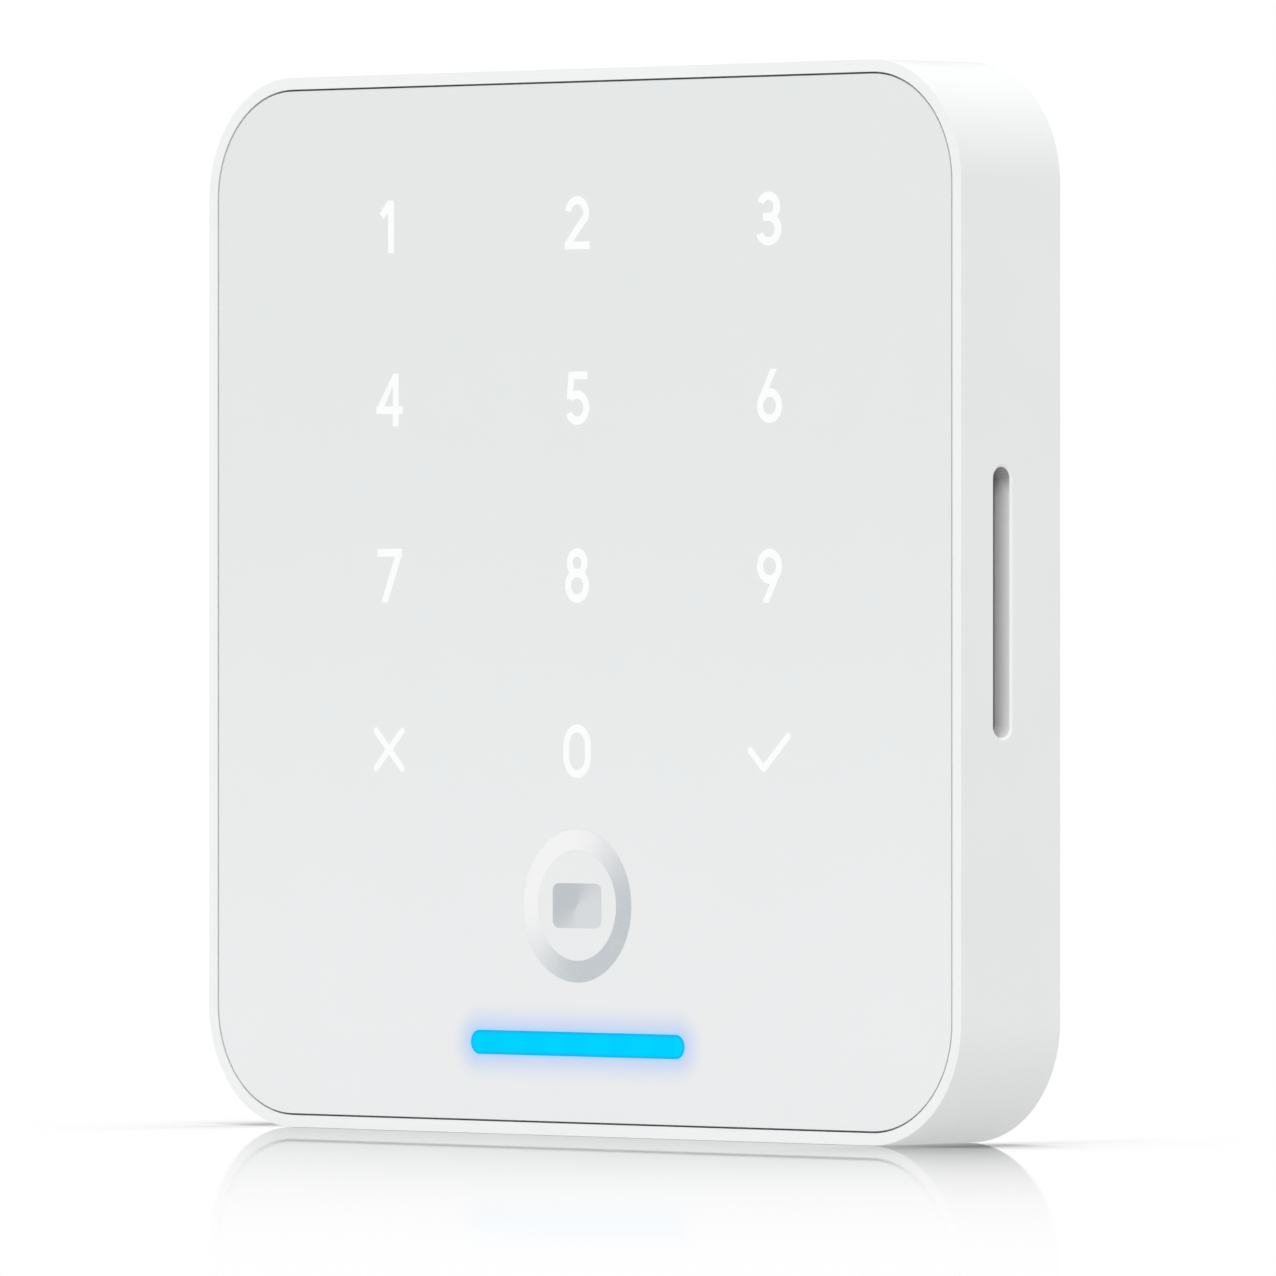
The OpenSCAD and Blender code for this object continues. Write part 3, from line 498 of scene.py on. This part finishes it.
# Width of the rounded edges, in millimetres, of the nodes that have them
EDGE_WIDTHS = {
    "housing": 0.12, "rear_cover": 0.07, "wall_plate": 0.07, "lock_screw": 0.12,
    "tamper_plunger": 0.2, "reset_button": 0.25, "cover_screws": 0.1, "network_jack": 0.08,
    "jack_insert": 0.08, "rear_label": 0.03, "vent_membrane": 0.03, "speaker": 0.1, "shield_can": 0.07,
    "power_inductor": 0.1, "poe_transformer": 0.2, "board_chips": 0.05, "flex_connectors": 0.1,
}

materials = {slot: make().material for slot, make in LOOKS.items()}
for part in frame["record"]["subparts"]:
    name = part["node"]
    for material_slot in NODES[name].material_slots:
        material_slot.material = materials[part["material_slot"]]
    ease_edges(name, EDGE_WIDTHS.get(name, 0))


# ---------- floor, light and camera ----------

# Share of the light that the floor's mirror image keeps
MIRROR = 0.8

# Soft lights: direction, strength and narrowness
KEY_LIGHT = ((-0.05, -0.9, 0.35), 0.96, 10)
FILL_LIGHT = ((0.71, -0.7, 0.05), 0.55, 6)


def shader_tree(tree, kind, **values):
    """A shader node with constant inputs."""
    node = tree.nodes.new("ShaderNode" + kind)
    for key, value in values.items():
        node.inputs[key].default_value = value
    return node


def floor(height, reach, fade, haze):
    """Glossy white floor, seen only from above. It mirrors the object and is shaded at its two ends.

    The mirror image fades out over this many millimetres from the object, and haze tilts its rays at random.
    """
    mesh = bpy.data.meshes.new("floor")
    corners = [(reach * x, reach * y, height) for x, y in ((-1, -1), (1, -1), (1, 1), (-1, 1))]
    mesh.from_pydata(corners, [], [(0, 1, 2, 3)])
    thing = bpy.data.objects.new("floor", mesh)
    bpy.context.scene.collection.objects.link(thing)
    look = Look("floor_white")
    low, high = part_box("housing")
    outside = []
    for letter, near, far in (("X", low.x, high.x), ("Y", low.y, 0)):
        off = look.math("ABSOLUTE", look.math("SUBTRACT", look.axis(letter), (near + far) / 2))
        gap = look.math("MAXIMUM", look.math("SUBTRACT", off, (far - near) / 2), 0)
        outside.append(look.math("MULTIPLY", gap, gap))
    away = look.math("SQRT", look.math("ADD", *outside))
    strength = look.math("EXPONENT", look.math("MULTIPLY", away, -1 / (fade * MM)))

    # Contact shade under the rounded corners, at the left and right ends
    shade_reach = 60 * MM
    deepest = 0.6
    contact = look.add("AmbientOcclusion", samples=12)
    contact.inputs["Distance"].default_value = shade_reach
    dim = look.spread(contact.outputs["AO"], deepest, 0, 0.28, 0.88)
    ends = look.spread(look.math("ABSOLUTE", look.axis("X")), 0, 1, high.x - 15 * MM, high.x - 2 * MM)
    shadow = look.math("SUBTRACT", 1, look.math("MULTIPLY", dim, ends))

    # What the camera sees: plain white, and the mirror image near the object
    plain = shader_tree(look.tree, "Emission")
    look.join(shadow, plain.inputs["Strength"])
    mirror = shader_tree(look.tree, "BsdfAnisotropic", Roughness=0.0)
    polish = look.add("TexWhiteNoise")
    look.join(look.place, polish.inputs["Vector"])
    tilt = look.add("VectorMath", operation="MULTIPLY_ADD")
    look.join(polish.outputs["Color"], tilt.inputs[0])
    tilt.inputs[1].default_value = (haze, haze, 0)
    tilt.inputs[2].default_value = (-haze / 2, -haze / 2, 1)
    look.join(tilt.outputs[0], mirror.inputs["Normal"])
    look.join(look.blend(shadow, (0, 0, 0), (MIRROR, MIRROR, MIRROR)), mirror.inputs["Color"])
    seen = look.add("MixShader")
    look.join(strength, seen.inputs[0])
    look.join(plain.outputs[0], seen.inputs[1])
    look.join(mirror.outputs[0], seen.inputs[2])

    # What lights the object from below: a grey diffuse surface with a glow
    grey = shader_tree(look.tree, "BsdfDiffuse", Color=(0.26, 0.26, 0.26, 1))
    glow = shader_tree(look.tree, "Emission", Strength=0.48)
    bounce = look.add("AddShader")
    look.join(grey.outputs[0], bounce.inputs[0])
    look.join(glow.outputs[0], bounce.inputs[1])
    path = look.add("LightPath")
    above = look.add("MixShader")
    look.join(look.add("NewGeometry").outputs["Backfacing"], above.inputs[0])
    look.join(seen.outputs[0], above.inputs[1])
    look.join(shader_tree(look.tree, "BsdfTransparent").outputs[0], above.inputs[2])
    both = look.add("MixShader")
    look.join(path.outputs["Is Camera Ray"], both.inputs[0])
    look.join(bounce.outputs[0], both.inputs[1])
    look.join(above.outputs[0], both.inputs[2])
    look.join(both.outputs[0], look.tree.nodes["Material Output"].inputs[0])
    mesh.materials.append(look.material)


def world(low_light, rise, fall, lights):
    """White studio: brighter above, with soft lights, and plain white where the camera or the mirror sees it.

    The sky's strength goes by height as low_light + rise * z - fall * z * z. A light is its direction, its
    strength and how narrow it is.
    """
    scene_world = bpy.data.worlds.new("studio")
    scene_world.use_nodes = True
    bpy.context.scene.world = scene_world
    tree = scene_world.node_tree
    coord = tree.nodes.new("ShaderNodeTexCoord")

    def towards(direction):
        node = tree.nodes.new("ShaderNodeVectorMath")
        node.operation = "DOT_PRODUCT"
        node.inputs[1].default_value = direction
        tree.links.new(coord.outputs["Generated"], node.inputs[0])
        return node.outputs["Value"]

    def calc(operation, *values):
        node = tree.nodes.new("ShaderNodeMath")
        node.operation = operation
        for socket, value in zip(node.inputs, values):
            if isinstance(value, (int, float)):
                socket.default_value = value
            else:
                tree.links.new(value, socket)
        return node.outputs[0]

    up = calc("MAXIMUM", towards((0, 0, 1)), 0)
    light = calc("MULTIPLY_ADD", up, calc("MULTIPLY_ADD", up, -fall, rise), low_light)
    for source, strength, focus in lights:
        lobe = calc("POWER", calc("MAXIMUM", towards(Vector(source).normalized()), 0), focus)
        light = calc("MULTIPLY_ADD", lobe, strength, light)
    path = tree.nodes.new("ShaderNodeLightPath")
    layers = tree.nodes["Background"]
    tree.links.new(light, layers.inputs["Strength"])
    layers.inputs["Color"].default_value = (1, 1, 1, 1)
    result = layers.outputs[0]
    for ray, strength in (("Is Singular Ray", 1 / MIRROR), ("Is Camera Ray", 1.0)):
        white = shader_tree(tree, "Background", Color=(1, 1, 1, 1), Strength=strength)
        mix = tree.nodes.new("ShaderNodeMixShader")
        tree.links.new(path.outputs[ray], mix.inputs[0])
        tree.links.new(result, mix.inputs[1])
        tree.links.new(white.outputs[0], mix.inputs[2])
        result = mix.outputs[0]
    tree.links.new(result, tree.nodes["World Output"].inputs[0])


def camera(turn, distance, aside, height, lens, shift):
    """Camera level with the middle of the reader, turned to its +X side."""
    data = bpy.data.cameras.new("camera")
    data.sensor_width = 36
    data.lens = lens
    data.shift_y = shift
    data.clip_end = 100
    thing = bpy.data.objects.new("camera", data)
    front = Vector((0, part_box("housing")[0].y, 0))
    right = Vector((math.cos(turn), math.sin(turn), 0))
    ahead = Vector((-math.sin(turn), math.cos(turn), 0))
    thing.location = front + aside * right - distance * ahead + Vector((0, 0, height))
    thing.rotation_euler = (math.pi / 2, 0, turn)
    bpy.context.scene.collection.objects.link(thing)
    bpy.context.scene.camera = thing


# The floor lies a hair below the housing, so that the two faces don't coincide
floor(height=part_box("housing")[0].z - 0.02 * MM, reach=30.0, fade=78, haze=0.0035)
world(low_light=0.30, rise=1.68, fall=0.78, lights=(KEY_LIGHT, FILL_LIGHT))
camera(turn=math.radians(45.04), distance=1.7844, aside=0.00654, height=0.000245, lens=471.4, shift=-0.0297)
bpy.context.scene.view_settings.view_transform = "Standard"
